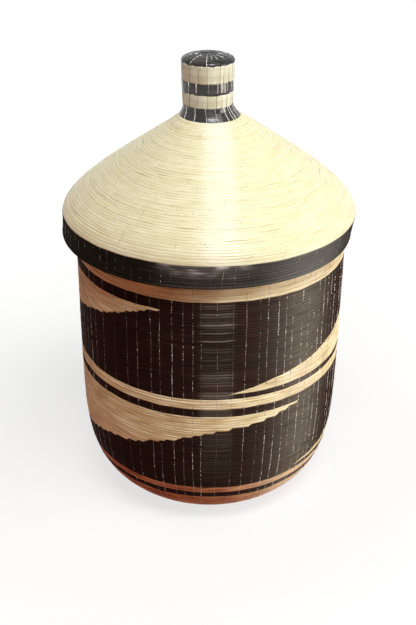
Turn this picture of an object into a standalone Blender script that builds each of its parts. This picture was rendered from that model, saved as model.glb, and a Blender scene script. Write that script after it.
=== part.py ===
"""A tall lidded basket of coiled straw: a round body with a flat base, and a loose cone lid with a knob.

The straw lies in level courses, each sewn to the one below. A run of courses in one colour is its own
piece here, because the maker takes up and drops each colour's straw there. Metres, +Z up, with the
origin at the middle of the underside of the base, and the front at -Y.
"""

import math

import bmesh
import bpy
import numpy as np

MM = 0.001

# The coil
ROW = 2.4 * MM  # height of one sewn course
WALL = 3.2 * MM  # thickness of the coiled wall
SEAM = 0.3 * MM  # gap left between pieces that are sewn together
FACETS = 48  # flat sides to a full turn of the body and the lid
KNOB_FACETS = 32  # flat sides to a full turn of the knob
SAMPLES = 1500  # points by which a curved outline is worked out

# The body, from its underside to its mouth
BASE_RADIUS = 74 * MM  # where the flat base turns up into the wall
BODY_RADIUS = 117.4 * MM  # what the wall swells towards
TURN_UP = 23 * MM  # height over which the foot curves upright
FOOT_STEPS = 6  # straight steps along the curve of the foot
DRAWN_IN = 0.009  # how far the wall draws in again for each unit of height
START_RADIUS = 12 * MM  # the first turns, from which the base is coiled
RIM_SWELL = 0.4 * MM  # how much the bound mouth rim stands out from the wall, inside and out

# Courses in each run of the body, from the base up
FOOT_NATURAL_ROWS = 20
FOOT_DARK_ROWS = 3
FOOT_LINE_ROWS = 3
FIELD_EDGE_ROWS = 2
LOWER_FIELD_ROWS = 30
WAIST_DARK_ROWS = 3
WAIST_LINE_ROWS = 4
UPPER_FIELD_ROWS = 31
TOP_DARK_ROWS = 4
TOP_LINE_ROWS = 6
MOUTH_DARK_ROWS = 9
MOUTH_RIM_ROWS = 2

# The diagonal sashes. Azimuths are in degrees from the front, positive towards +X. In each field one
# edge leaves the foot of the field at a point, another reaches its top at a point.
LOWER_FOOT_POINT = 44
LOWER_FOOT_CLIMB = 110  # how far round the edge goes as it climbs the whole field
LOWER_TOP_POINT = 38
LOWER_TOP_CLIMB = 139
UPPER_FOOT_POINT = 7
UPPER_FOOT_CLIMB = 190
UPPER_TOP_POINT = -22
UPPER_TOP_CLIMB = 110
SASH_TIP = 0.8 * MM  # how tall a sash is where its solid starts and ends
SASH_STEPS = 54  # stations along a sash
SASH_RISE_STEPS = 4  # straight steps up the wall at each station

# The lid. Its heights are measured up from the edge where skirt and cone meet.
LID_PLAY = 4.5 * MM  # how much wider the skirt's lower edge is inside than the mouth, all round
LID_REST = 0.6 * MM  # height left between the mouth rim and the cone that rests on it
SKIRT_DEPTH = 20.3 * MM
SKIRT_TAPER = 1.2 * MM  # how much narrower the skirt is at its lower edge
SKIRT_LEAN_HEIGHT = 60 * MM  # how far up from its lower edge the skirt's sideways lean fades out
SKIRT_TOUCH = 0.4 * MM  # what the leaning skirt leaves to the mouth rim on its near side
LID_RIM_HEIGHT = 3.5 * MM  # the bound coil along the skirt's lower edge
CONE_SHOULDER = (4.7 * MM, 17.5 * MM)  # (in, up) from the edge, the point that the cone first rises to
CONE_HOLLOW = (42.5 * MM, 29.5 * MM)  # (out, down) from the neck, the point that it comes in from
NECK_RADIUS = 25 * MM
NECK_HEIGHT = 77.8 * MM
CONE_STEPS = 10  # straight steps along the cone's curved outline

# The knob, as heights of its bands from the neck up
KNOB_SIDE_SHIFT = -3.4 * MM  # it is sewn on a little to one side
KNOB_SHIFT_BELOW = 8.0 * MM  # how far below the neck the cone starts to lean that way
KNOB_FOOT_RADIUS = 20.4 * MM
KNOB_TOP_RADIUS = 21.5 * MM
COLLAR_HEIGHT = 9.5 * MM
KNOB_LOWER_BAND = 10.7 * MM
KNOB_MIDDLE_BAND = 9.2 * MM
KNOB_UPPER_BAND = 13.7 * MM
CROWN_SIDE = 1.0 * MM
CROWN_RISE = 5.2 * MM
CROWN_STEPS = 4
COLLAR_STEPS = 4

NATURAL = ("natural_straw", (0.56, 0.37, 0.18, 1.0), 0.55)
BLEACHED = ("bleached_straw", (0.83, 0.77, 0.50, 1.0), 0.5)
DARK = ("black_dyed_straw", (0.022, 0.016, 0.014, 1.0), 0.42)


def material(kind):
    """The shared material of this kind of straw."""
    name, colour, roughness = kind
    made = bpy.data.materials.get(name)
    if made is None:
        made = bpy.data.materials.new(name)
        made.use_nodes = True
        shader = made.node_tree.nodes["Principled BSDF"]
        shader.inputs["Base Color"].default_value = colour
        shader.inputs["Roughness"].default_value = roughness
        shader.inputs["Metallic"].default_value = 0.0
    return made


def add_object(name, shape, kind, parent=None):
    """Turns a finished bmesh into a named, smooth-shaded object."""
    bmesh.ops.recalc_face_normals(shape, faces=shape.faces)
    mesh = bpy.data.meshes.new(name)
    shape.to_mesh(mesh)
    shape.free()
    mesh.materials.append(material(kind))
    mesh.shade_smooth()
    mesh.set_sharp_from_angle(angle=math.radians(40))
    made = bpy.data.objects.new(name, mesh)
    made.parent = parent
    bpy.context.scene.collection.objects.link(made)


def upright(height):
    """The sideways shift of a piece that stands true."""
    return 0.0


def turned(name, outline, kind, facets=FACETS, parent=None, lean=upright):
    """A solid turned about Z from a closed outline of (radius, height) points, then leant sideways."""
    shape = bmesh.new()
    corners = [shape.verts.new((radius, 0, height)) for radius, height in outline]
    sides = []
    for first, second in zip(corners, corners[1:] + corners[:1]):
        if first.co.x > 0 or second.co.x > 0:
            sides.append(shape.edges.new((first, second)))
    bmesh.ops.spin(
        shape,
        geom=corners + sides,
        cent=(0, 0, 0),
        axis=(0, 0, 1),
        angle=math.tau,
        steps=facets,
        use_merge=True,
    )
    bmesh.ops.remove_doubles(shape, verts=shape.verts, dist=0.001 * MM)
    for vertex in shape.verts:
        vertex.co.x += lean(vertex.co.z)
    add_object(name, shape, kind, parent)


class Outline:
    """A curved outer line, walked by its own length, with the wall's thickness inside it."""

    def __init__(self, radii, heights):
        self.radii = np.asarray(radii)
        self.heights = np.asarray(heights)
        steps = np.hypot(np.diff(self.radii), np.diff(self.heights))
        self.lengths = np.concatenate([[0.0], np.cumsum(steps)])
        self.length = float(self.lengths[-1])

    def point(self, along):
        """The outer point at this length along the line."""
        radius = float(np.interp(along, self.lengths, self.radii))
        height = float(np.interp(along, self.lengths, self.heights))
        return radius, height

    def inner_point(self, along):
        """The point of the inner face behind the outer one, square to the line."""
        reach = ROW / 4
        before = self.point(max(along - reach, 0.0))
        after = self.point(min(along + reach, self.length))
        run, rise = after[0] - before[0], after[1] - before[1]
        size = math.hypot(run, rise)
        radius, height = self.point(along)
        return radius - WALL * rise / size, height + WALL * run / size

    def section(self, start, end, steps):
        """The closed outline of the wall from one length along the line to another."""
        stops = [start + (end - start) * i / steps for i in range(steps + 1)]
        outer = [self.point(stop) for stop in stops]
        inner = [self.inner_point(stop) for stop in reversed(stops)]
        return outer + inner


def body_rows():
    """How many courses the wall has from the edge of the base to the top of the mouth."""
    foot = FOOT_NATURAL_ROWS + FOOT_DARK_ROWS + FOOT_LINE_ROWS + FIELD_EDGE_ROWS
    waist = WAIST_DARK_ROWS + WAIST_LINE_ROWS + FIELD_EDGE_ROWS
    mouth = TOP_DARK_ROWS + TOP_LINE_ROWS + MOUTH_DARK_ROWS + MOUTH_RIM_ROWS
    return foot + LOWER_FIELD_ROWS + waist + UPPER_FIELD_ROWS + mouth


def body_outline():
    """The wall's outer line from the edge of the base, a little longer than its courses need."""
    heights = np.linspace(0.0, (body_rows() + 1) * ROW, SAMPLES)
    still_to_swell = (BODY_RADIUS - BASE_RADIUS) * np.exp(-heights / TURN_UP)
    return Outline(BODY_RADIUS - still_to_swell - DRAWN_IN * heights, heights)


def cone_outline(edge_radius):
    """The lid's outer line from its edge up to the neck, a cubic curve drawn by two outer points."""
    t = np.linspace(0.0, 1.0, SAMPLES)
    weights = np.array([(1 - t) ** 3, 3 * t * (1 - t) ** 2, 3 * t**2 * (1 - t), t**3])
    shoulder_radius = edge_radius - CONE_SHOULDER[0]
    hollow_radius = NECK_RADIUS + CONE_HOLLOW[0]
    radii = np.array([edge_radius, shoulder_radius, hollow_radius, NECK_RADIUS]) @ weights
    heights = np.array([0.0, CONE_SHOULDER[1], NECK_HEIGHT - CONE_HOLLOW[1], NECK_HEIGHT]) @ weights
    return Outline(radii, heights)


def sash(name, wall, first, last, low, high, kind):
    """A slanting run of courses, from azimuth first to last, between the edges low(a) and high(a)."""
    shape = bmesh.new()
    rings = []
    for i in range(SASH_STEPS + 1):
        azimuth = first + (last - first) * i / SASH_STEPS
        section = wall.section(low(azimuth) + SEAM / 2, high(azimuth) - SEAM / 2, SASH_RISE_STEPS)
        across, along = math.sin(math.radians(azimuth)), -math.cos(math.radians(azimuth))
        rings.append([shape.verts.new((r * across, r * along, z)) for r, z in section])
    for ring, following in zip(rings, rings[1:]):
        for k in range(len(ring)):
            after = (k + 1) % len(ring)
            shape.faces.new((ring[k], ring[after], following[after], following[k]))
    for end in (rings[0], rings[-1]):
        half = len(end) // 2
        for k in range(half - 1):
            shape.faces.new((end[k], end[k + 1], end[-2 - k], end[-1 - k]))
    add_object(name, shape, kind)


def field(place, wall, start, rows, foot_edge, top_edge):
    """A field of the wall that a dark and a natural sash share. Each edge is a (point, climb) pair."""
    tall = rows * ROW
    foot_point, foot_climb = foot_edge
    top_point, top_climb = top_edge
    tip = SASH_TIP / tall

    def leaving_foot(azimuth):
        share = (azimuth - foot_point) / foot_climb
        return start + tall * min(max(share, 0.0), 1.0)

    def reaching_top(azimuth):
        share = (azimuth - top_point + top_climb) / top_climb
        return start + tall * min(max(share, 0.0), 1.0)

    sash(
        place + "_field_dark",
        wall,
        top_point - top_climb * (1 - tip),
        foot_point + foot_climb * (1 - tip),
        leaving_foot,
        reaching_top,
        DARK,
    )
    sash(
        place + "_field_natural",
        wall,
        foot_point + foot_climb * tip,
        top_point + 360 - top_climb * tip,
        lambda azimuth: reaching_top(azimuth - 360),
        leaving_foot,
        NATURAL,
    )


def build_base(wall):
    """The flat spiral base: its first turns, and the disc that is coiled on round them."""
    edge_radius = wall.point(0.0)[0] - SEAM
    inner_radius, inner_height = wall.inner_point(0.0)
    start = [(0, 0), (START_RADIUS, 0), (START_RADIUS, inner_height), (0, inner_height)]
    turned("base_start", start, NATURAL)
    disc = [
        (START_RADIUS + SEAM, 0),
        (edge_radius, 0),
        (inner_radius - SEAM, inner_height),
        (START_RADIUS + SEAM, inner_height),
    ]
    turned("base_disc", disc, NATURAL)


def build_body(wall):
    """The wall, run by run from the foot to the mouth. Returns the height of the mouth."""
    build_base(wall)
    reached = FOOT_NATURAL_ROWS * ROW
    turned("foot_wall_natural", wall.section(0.0, reached - SEAM / 2, FOOT_STEPS), NATURAL)

    def level_runs(*runs):
        nonlocal reached
        for name, rows, kind in runs:
            end = reached + rows * ROW
            turned(name, wall.section(reached + SEAM / 2, end - SEAM / 2, 1), kind)
            reached = end

    level_runs(
        ("foot_line_dark", FOOT_DARK_ROWS, DARK),
        ("foot_line_natural", FOOT_LINE_ROWS, NATURAL),
        ("lower_field_edge_dark", FIELD_EDGE_ROWS, DARK),
    )
    lower_edges = (LOWER_FOOT_POINT, LOWER_FOOT_CLIMB), (LOWER_TOP_POINT, LOWER_TOP_CLIMB)
    field("lower", wall, reached, LOWER_FIELD_ROWS, *lower_edges)
    reached += LOWER_FIELD_ROWS * ROW
    level_runs(
        ("waist_line_dark", WAIST_DARK_ROWS, DARK),
        ("waist_line_natural", WAIST_LINE_ROWS, NATURAL),
        ("upper_field_edge_dark", FIELD_EDGE_ROWS, DARK),
    )
    upper_edges = (UPPER_FOOT_POINT, UPPER_FOOT_CLIMB), (UPPER_TOP_POINT, UPPER_TOP_CLIMB)
    field("upper", wall, reached, UPPER_FIELD_ROWS, *upper_edges)
    reached += UPPER_FIELD_ROWS * ROW
    level_runs(
        ("top_line_dark", TOP_DARK_ROWS, DARK),
        ("top_line_natural", TOP_LINE_ROWS, NATURAL),
        ("mouth_wall_dark", MOUTH_DARK_ROWS, DARK),
    )
    return build_mouth_rim(wall, reached)


def build_mouth_rim(wall, reached):
    """The bound rim round the mouth, its section a little fatter than the wall. Returns its top."""
    outer, low = wall.point(reached + SEAM / 2)
    inner = outer - WALL
    top = wall.point(reached + MOUTH_RIM_ROWS * ROW)[1]
    quarter = (top - low) / 4
    rim = [
        (inner, low),
        (outer, low),
        (outer + RIM_SWELL, low + quarter),
        (outer + RIM_SWELL, top - quarter),
        (outer, top),
        (inner, top),
        (inner - RIM_SWELL, top - quarter),
        (inner - RIM_SWELL, low + quarter),
    ]
    turned("mouth_rim", rim, DARK)
    return top


def lid_lean(height):
    """The lid's sideways shift at a height: its skirt leans out below, its knob is sewn on off centre."""
    above_low_edge = height + SKIRT_DEPTH
    lean = LID_PLAY - RIM_SWELL - SKIRT_TOUCH
    left_over = max(0.0, 1 - above_low_edge / SKIRT_LEAN_HEIGHT)
    above_start = height - NECK_HEIGHT + KNOB_SHIFT_BELOW
    shifted = min(max(above_start / (COLLAR_HEIGHT + KNOB_SHIFT_BELOW), 0.0), 1.0)
    return KNOB_SIDE_SHIFT * shifted - lean * left_over**2


def seat_height(cone, rim_radius):
    """How far above the lid's edge the cone's inner face meets the mouth rim."""
    for along in np.linspace(0.0, cone.length, SAMPLES):
        radius, height = cone.inner_point(float(along))
        if radius - abs(lid_lean(height)) < rim_radius:
            break
    return height


def build_skirt(lid, edge_radius):
    """The skirt that hangs round the mouth, and the bound coil along its lower edge."""
    low = -SKIRT_DEPTH
    seam = low + LID_RIM_HEIGHT
    rim_middle = low + LID_RIM_HEIGHT / 2
    skirt_middle = (seam - SEAM) / 2

    def outer(height):
        return edge_radius + SKIRT_TAPER * height / SKIRT_DEPTH

    def inner(height):
        return outer(height) - WALL

    rim = [(inner(z), z) for z in (seam - SEAM, rim_middle, low)]
    rim += [(outer(low), low), (outer(rim_middle) + RIM_SWELL, rim_middle), (outer(seam), seam - SEAM)]
    turned("lid_rim", rim, DARK, parent=lid, lean=lid_lean)
    heights = (-SEAM, skirt_middle, seam)
    skirt = [(inner(z), z) for z in heights] + [(outer(z), z) for z in reversed(heights)]
    turned("lid_skirt", skirt, DARK, parent=lid, lean=lid_lean)


def build_knob(lid):
    """The hollow knob: a flared dark collar, three bands and a domed crown."""
    collar = []
    for i in range(COLLAR_STEPS + 1):
        share = i / COLLAR_STEPS
        flare = (NECK_RADIUS - KNOB_FOOT_RADIUS) * (1 - math.sin(share * math.pi / 2))
        height = NECK_HEIGHT + SEAM + share * (COLLAR_HEIGHT - 2 * SEAM)
        collar.append((KNOB_FOOT_RADIUS + flare, height))
    collar += [(radius - WALL, height) for radius, height in reversed(collar)]
    turned("knob_collar", collar, DARK, KNOB_FACETS, lid, lid_lean)

    foot = NECK_HEIGHT + COLLAR_HEIGHT
    shoulder = foot + KNOB_LOWER_BAND + KNOB_MIDDLE_BAND + KNOB_UPPER_BAND

    def radius_at(height):
        share = (height - foot) / (shoulder - foot)
        return KNOB_FOOT_RADIUS + (KNOB_TOP_RADIUS - KNOB_FOOT_RADIUS) * share

    low = foot
    bands = (
        ("knob_band_lower", KNOB_LOWER_BAND, BLEACHED),
        ("knob_band_middle", KNOB_MIDDLE_BAND, DARK),
        ("knob_band_upper", KNOB_UPPER_BAND, BLEACHED),
    )
    for name, tall, kind in bands:
        high = low + tall - SEAM
        band = [(radius_at(low), low), (radius_at(high), high)]
        band += [(radius_at(high) - WALL, high), (radius_at(low) - WALL, low)]
        turned(name, band, kind, KNOB_FACETS, lid, lid_lean)
        low += tall

    crown = [(0, shoulder), (KNOB_TOP_RADIUS, shoulder)]
    for i in range(CROWN_STEPS):
        turn = math.pi / 2 * i / CROWN_STEPS
        crown.append((KNOB_TOP_RADIUS * math.cos(turn), shoulder + CROWN_SIDE + CROWN_RISE * math.sin(turn)))
    crown.append((0, shoulder + CROWN_SIDE + CROWN_RISE))
    turned("knob_crown", crown, DARK, KNOB_FACETS, lid, lid_lean)


def build_lid(wall, mouth_height):
    """The lid, about the body's own axis, resting with its cone on the mouth rim."""
    mouth_radius = wall.point(body_rows() * ROW)[0]
    edge_radius = mouth_radius + LID_PLAY + WALL + SKIRT_TAPER
    cone = cone_outline(edge_radius)
    lid = bpy.data.objects.new("lid_axis", None)
    lid.location.z = mouth_height + LID_REST - seat_height(cone, mouth_radius + RIM_SWELL)
    bpy.context.scene.collection.objects.link(lid)
    build_skirt(lid, edge_radius)
    section = cone.section(0.0, cone.length, CONE_STEPS)
    # Both ends are cut level: the inner line starts at the neck and comes back to the edge.
    section[CONE_STEPS + 1] = (NECK_RADIUS - WALL, NECK_HEIGHT)
    section[-1] = (edge_radius - WALL, 0.0)
    turned("lid_cone", section, BLEACHED, parent=lid, lean=lid_lean)
    build_knob(lid)


def main():
    for old in list(bpy.data.objects):
        bpy.data.objects.remove(old)
    wall = body_outline()
    build_lid(wall, build_body(wall))


main()
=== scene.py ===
"""A tall lidded basket of coiled straw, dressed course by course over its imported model.

The maker winds straw round and round and sews each course to the one below with a pale fibre, so
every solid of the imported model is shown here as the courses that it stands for: closed tubes of
straw that follow the wall's outline, with the stitches laid over them in columns. Lengths are in
metres unless a name or a comment says otherwise. Azimuths are in radians from the front (-Y),
positive towards +X.
"""

import logging
import math
from collections.abc import Callable, Sequence
from dataclasses import dataclass, field, replace
from enum import Enum
from functools import partial

import bpy
import numpy as np
from mathutils import Matrix, Vector


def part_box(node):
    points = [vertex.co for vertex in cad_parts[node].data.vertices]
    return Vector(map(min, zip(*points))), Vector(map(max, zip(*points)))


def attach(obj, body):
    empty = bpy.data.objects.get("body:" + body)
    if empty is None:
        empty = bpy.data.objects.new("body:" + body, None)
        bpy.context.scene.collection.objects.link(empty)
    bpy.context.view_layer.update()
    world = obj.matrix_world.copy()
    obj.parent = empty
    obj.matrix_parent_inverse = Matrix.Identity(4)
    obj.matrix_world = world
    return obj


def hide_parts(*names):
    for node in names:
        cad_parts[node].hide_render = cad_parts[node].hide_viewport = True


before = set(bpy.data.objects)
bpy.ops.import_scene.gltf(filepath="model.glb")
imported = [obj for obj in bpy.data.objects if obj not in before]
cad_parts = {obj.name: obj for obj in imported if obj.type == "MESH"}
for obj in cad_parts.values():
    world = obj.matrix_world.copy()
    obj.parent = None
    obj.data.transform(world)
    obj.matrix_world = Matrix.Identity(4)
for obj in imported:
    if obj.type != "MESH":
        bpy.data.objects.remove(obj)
log = logging.getLogger("basket")

Array = np.ndarray
Curve = Callable[[Array], Array]
Point = tuple[float, float]
Triple = tuple[float, float, float]

MM = 0.001
STEP = 3.0 * MM  # spacing of the stations along a course, and width of a wrap
EVERYWHERE = (-math.pi, math.pi)


# Colours and nodes


def from_hex(colour: str) -> tuple[float, float, float, float]:
    """Turns an sRGB hex colour into the linear colour that shaders take.

    Args:
        colour: six hex digits after a #.

    Returns:
        Linear red, green, blue and an alpha of 1.
    """
    parts = [int(colour[i : i + 2], 16) / 255 for i in (1, 3, 5)]
    linear = [p / 12.92 if p <= 0.04045 else ((p + 0.055) / 1.055) ** 2.4 for p in parts]
    return linear[0], linear[1], linear[2], 1.0


def add_node(
    tree: bpy.types.NodeTree,
    kind: str,
    settings: dict[str, object] | None = None,
    links: dict[str | int, bpy.types.NodeSocket] | None = None,
) -> bpy.types.Node:
    """Adds one node to a tree, sets it and links what goes into it.

    Args:
        tree: the node tree.
        kind: the node's type name.
        settings: properties by name, or input sockets' values by "=" and the socket's name or number.
        links: the output socket that feeds each input, by the input's name or number.

    Returns:
        The new node.
    """
    node = tree.nodes.new(kind)
    for name, value in (settings or {}).items():
        if name.startswith("="):
            key = name[1:]
            node.inputs[int(key) if key.isdigit() else key].default_value = value
        else:
            setattr(node, name, value)
    for key, source in (links or {}).items():
        tree.links.new(source, node.inputs[key])
    return node


def set_stops(ramp: bpy.types.Node, stops: Sequence[tuple[float, str]]) -> None:
    """Gives a colour ramp its stops.

    Args:
        ramp: the ColorRamp node.
        stops: (position, sRGB hex colour) in rising order.
    """
    elements = ramp.color_ramp.elements
    while len(elements) < len(stops):
        elements.new(1.0)
    for element, (position, colour) in zip(elements, stops):
        element.position = position
        element.color = from_hex(colour)


def shared_material(
    name: str, plain: str, dress: Callable[[bpy.types.NodeTree], None]
) -> bpy.types.Material:
    """Makes a material the first time that it is asked for.

    Args:
        name: its name.
        plain: its sRGB colour where no nodes are shown.
        dress: adds its nodes to its tree.

    Returns:
        The material.
    """
    made = bpy.data.materials.get(name)
    if made is None:
        made = bpy.data.materials.new(name)
        made.use_nodes = True
        made.diffuse_color = from_hex(plain)
        dress(made.node_tree)
    return made


class Fibre(Enum):
    """Names of the straws' material slots."""

    NATURAL = "natural_straw"
    BLEACHED = "bleached_straw"
    DARK = "black_dyed_straw"


@dataclass(frozen=True)
class StrawFinish:
    """Split straw, laid side by side in a course and pulled tight.

    A straw has a waxy skin, which bleaching leaves satin and which dye and damp make dull, and fine
    lines show where one straw ends and the next lies beside it. Its colour changes from straw to
    straw and from course to course. Every pattern reads the attribute "lay": x and y across the
    basket, and the length along the wall's outline, so that it is stretched along the courses.

    Attributes:
        name: the material's name.
        fibre: the name of its material slot, which is not used.
        blades: colours of single straws, from the darkest to the palest.
        joint: what the shadowed joint between two courses is multiplied with.
        joint_share: share of the joints' length that is open enough to show.
        fleck: colour of the small scars and straw ends.
        fleck_share: how much of the surface is flecked, from 0 to 1.
        tone_spread: how much the courses differ in brightness.
        gloss: (smoothest, roughest) roughness.
        relief: depth of the lines between straws.
        straw_width: width of a single straw, or of the ribs in a broad strip.
        specular: strength of the skin's reflection.
        painted_light_colour: colour of the painted sheen and painted highlights.
    """

    name: str
    fibre: Fibre
    blades: tuple[str, str, str]
    joint: str
    joint_share: float
    fleck: str
    fleck_share: float
    tone_spread: float
    gloss: tuple[float, float]
    relief: float
    specular: float
    painted_light_colour: str
    straw_width: float = 0.7 * MM

    def material(self) -> bpy.types.Material:
        """The straw's shader, made once and then shared."""
        return shared_material(self.name, self.blades[1], self.dress)

    def dress(self, tree: bpy.types.NodeTree) -> None:
        """Adds the straw's nodes.

        Args:
            tree: the material's node tree.
        """
        shader = tree.nodes["Principled BSDF"]
        shader.inputs["Specular IOR Level"].default_value = self.specular
        lay = add_node(tree, "ShaderNodeAttribute", {"attribute_name": "lay"}).outputs["Vector"]
        tone, joint, wear = (
            add_node(tree, "ShaderNodeAttribute", {"attribute_name": name}).outputs["Fac"]
            for name in ("tone", "joint", "wear")
        )

        # Noise drawn out along the courses, by its cells per metre, detail and roughness. Single
        # straws hold their colour for about 50 mm, scars and straw ends are about 0.5 mm wide and
        # 3 mm long, and joints are open in runs of some 40 mm.
        noises = (
            ((20.0, 20.0, 1 / self.straw_width), 3.0, 0.6),
            ((330.0, 330.0, 1900.0), 1.0, 0.5),
            ((26.0, 26.0, 380.0), 2.0, 0.5),
        )
        drawn = []
        for cells, detail, roughness in noises:
            place = add_node(tree, "ShaderNodeMapping", {"=Scale": cells}, {"Vector": lay}).outputs["Vector"]
            settings = {"=Scale": 1.0, "=Detail": detail, "=Roughness": roughness}
            drawn.append(add_node(tree, "ShaderNodeTexNoise", settings, {"Vector": place}).outputs["Fac"])
        blades, scars, runs = drawn

        # Each noise's range for its use. The painted light shows more on some single straws than on
        # others, and the scars' noise is above 0.72 for about a hundredth of the surface.
        thin, gap = 3 * self.fleck_share, self.joint_share
        ranges = (
            (blades, (0.35, 0.65), (0.7, 1.3)),
            (scars, (0.75 - thin, 0.8 - thin), (0.0, 1.0)),
            (runs, (0.62 - 0.25 * gap, 0.78 - 0.35 * gap), (0.0, 1.0)),
            (blades, (0.3, 0.7), self.gloss),
        )
        fitted = []
        for noise, old, new in ranges:
            limits = zip(("=From Min", "=From Max", "=To Min", "=To Max"), old + new)
            spread = add_node(tree, "ShaderNodeMapRange", dict(limits), {"Value": noise})
            fitted.append(spread.outputs["Result"])
        uneven, flecks, opened, rough = fitted
        clamped = {"operation": "MULTIPLY", "use_clamp": True}
        painted_light_share, shaded = (
            add_node(tree, "ShaderNodeMath", clamped, {0: one, 1: other}).outputs[0]
            for one, other in ((wear, uneven), (opened, joint))
        )

        # The straws' own colours, then the painted sheen and highlights, the flecks and the shadowed joints
        # over them.
        toning = {"operation": "MULTIPLY_ADD", "=1": self.tone_spread}
        toned = add_node(tree, "ShaderNodeMath", toning, {0: tone, 2: blades}).outputs[0]
        ramp = add_node(tree, "ShaderNodeValToRGB", links={"Fac": toned})
        set_stops(ramp, list(zip((0.3, 0.5, 0.7), self.blades)))
        colour = ramp.outputs["Color"]
        layers = ((painted_light_share, self.painted_light_colour, "MIX"), (flecks, self.fleck, "MIX"), (shaded, self.joint, "MULTIPLY"))
        for share, over, blend in layers:
            settings = {"data_type": "RGBA", "blend_type": blend, "=7": from_hex(over)}
            colour = add_node(tree, "ShaderNodeMix", settings, {0: share, 6: colour}).outputs[2]

        depth = {"=Strength": 1.0, "=Distance": self.relief}
        lines = add_node(tree, "ShaderNodeBump", depth, {"Height": blades}).outputs["Normal"]
        for socket, source in (("Base Color", colour), ("Roughness", rough), ("Normal", lines)):
            tree.links.new(source, shader.inputs[socket])


@dataclass(frozen=True)
class StitchFinish:
    """Split leaf fibre, pale and dry, drawn tight round a course.

    It is matt beside the waxy straw, and paler, so the stitches stand out as rows of dots on the
    dark courses and hardly show on the natural ones.

    Attributes:
        name: the material's name.
        pale: sRGB colour of clean fibre.
        dull: sRGB colour of handled fibre.
        soiled: sRGB colour of fibre that has taken up dye.
        roughness: the surface's roughness.
    """

    name: str
    pale: str
    dull: str
    soiled: str
    roughness: float

    def material(self) -> bpy.types.Material:
        """The fibre's shader, made once and then shared."""
        return shared_material(self.name, self.pale, self.dress)

    def dress(self, tree: bpy.types.NodeTree) -> None:
        """Adds the fibre's nodes, whose colour follows each stitch's paleness.

        Args:
            tree: the material's node tree.
        """
        shader = tree.nodes["Principled BSDF"]
        shader.inputs["Roughness"].default_value = self.roughness
        tone = add_node(tree, "ShaderNodeAttribute", {"attribute_name": "tone"}).outputs["Fac"]
        ramp = add_node(tree, "ShaderNodeValToRGB", links={"Fac": tone})
        set_stops(ramp, [(0.0, self.soiled), (0.5, self.dull), (1.0, self.pale)])
        tree.links.new(ramp.outputs["Color"], shader.inputs["Base Color"])


# Undyed straw: warm tan, browner where the outer leaf is left on. Its pale cream is the colour of the
# painted sheen and painted highlight strip on the wall.
NATURAL_STRAW = StrawFinish(
    name="natural_split_straw", fibre=Fibre.NATURAL,
    blades=("#ceb580", "#f0e5b8", "#fffad4"), painted_light_colour="#f8edd2", tone_spread=0.06,
    joint="#c8b088", joint_share=0.45, fleck="#7a5632", fleck_share=0.008,
    gloss=(0.6, 0.75), relief=0.10 * MM, specular=0.15,
)

# The foot's straw: the same straw, darker and red-brown as painted shade and painted red bounce light under
# the foot, and duller. Its pale colour is painted light on the foot's lit side.
FOOT_STRAW = StrawFinish(
    name="foot_shade_painted_split_straw", fibre=Fibre.NATURAL,
    blades=("#904826", "#c2784c", "#e0a878"), painted_light_colour="#f8e0b8", tone_spread=0.08,
    joint="#8a5840", joint_share=0.6, fleck="#5a2a1a", fleck_share=0.014,
    gloss=(0.65, 0.8), relief=0.10 * MM, specular=0.2,
)

# Straw whitened by the sun: pale yellow, nearly white where it is thickest. Its near white is the colour of
# the painted highlight band down the cone's front.
BLEACHED_STRAW = StrawFinish(
    name="bleached_split_straw", fibre=Fibre.BLEACHED,
    blades=("#d5cb9c", "#e3ddb6", "#ede8c8"), painted_light_colour="#fbf9e9", tone_spread=0.03,
    joint="#a09668", joint_share=0.17, fleck="#8c7a4c", fleck_share=0.012,
    gloss=(0.3, 0.4), relief=0.10 * MM, specular=0.35,
)

# The knob's pale bands: broader strips of the same straw, yellowed by hands.
KNOB_STRAW = StrawFinish(
    name="handled_split_straw", fibre=Fibre.BLEACHED,
    blades=("#c8c6a8", "#d8dac2", "#e8ecdc"), painted_light_colour="#e9e2c8", tone_spread=0.07,
    joint="#d3c6a4", joint_share=0.2, fleck="#77653f", fleck_share=0.006,
    gloss=(0.3, 0.42), relief=0.04 * MM, specular=0.5, straw_width=4 * MM,
)

# Straw boiled in a black dye: brown-black, with a skin that the boiling has dulled, so that it stays
# deep at the wall's edges, and a pale grey-brown for the painted sheen on the lit side and the painted
# highlight strip.
DARK_STRAW = StrawFinish(
    name="black_dyed_split_straw", fibre=Fibre.DARK,
    blades=("#190906", "#230f0a", "#2e1912"), painted_light_colour="#918c80", tone_spread=0.04,
    joint="#b4a49a", joint_share=0.3, fleck="#5a4636", fleck_share=0.003,
    gloss=(0.78, 0.9), relief=0.08 * MM, specular=0.035,
)

# The skirt's dyed straw, with a pale grey for the painted glare along its top courses at the front and the
# painted sheen on its lit side.
GLARE_PAINTED_STRAW = replace(
    DARK_STRAW, name="glare_painted_black_dyed_straw", blades=("#15120c", "#1e1b15", "#2a2720"), painted_light_colour="#d6d9d4"
)

# The knob's black: the same dyed straw in broad strips, polished by hands.
POLISHED_STRAW = StrawFinish(
    name="polished_black_dyed_straw", fibre=Fibre.DARK,
    blades=("#1a1918", "#282625", "#4c4845"), painted_light_colour="#94877a", tone_spread=0.09,
    joint="#5a5050", joint_share=0.4, fleck="#63594f", fleck_share=0.004,
    gloss=(0.12, 0.22), relief=0.12 * MM, specular=0.5,
)

# The crown: the same, in the broadest strips, so it shines in large glints.
CROWN_STRAW = replace(
    POLISHED_STRAW, name="crown_black_dyed_straw", blades=("#100f0e", "#1b1a19", "#363330"),
    gloss=(0.1, 0.18), relief=0.6 * MM, specular=0.3, straw_width=3 * MM,
)

SEWING_FIBRE = StitchFinish(
    name="split_leaf_fibre", pale="#fcf8ee", dull="#84745f", soiled="#2c201a", roughness=0.45
)


# Shapes


def bell(x: Array, height: float, middle: Array | float, reach: Array | float, power: int = 2) -> Array:
    """A bell curve: the height times e to minus the power of the distance from the middle, in reaches."""
    return height * np.exp(-(((x - middle) / reach) ** power))


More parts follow.
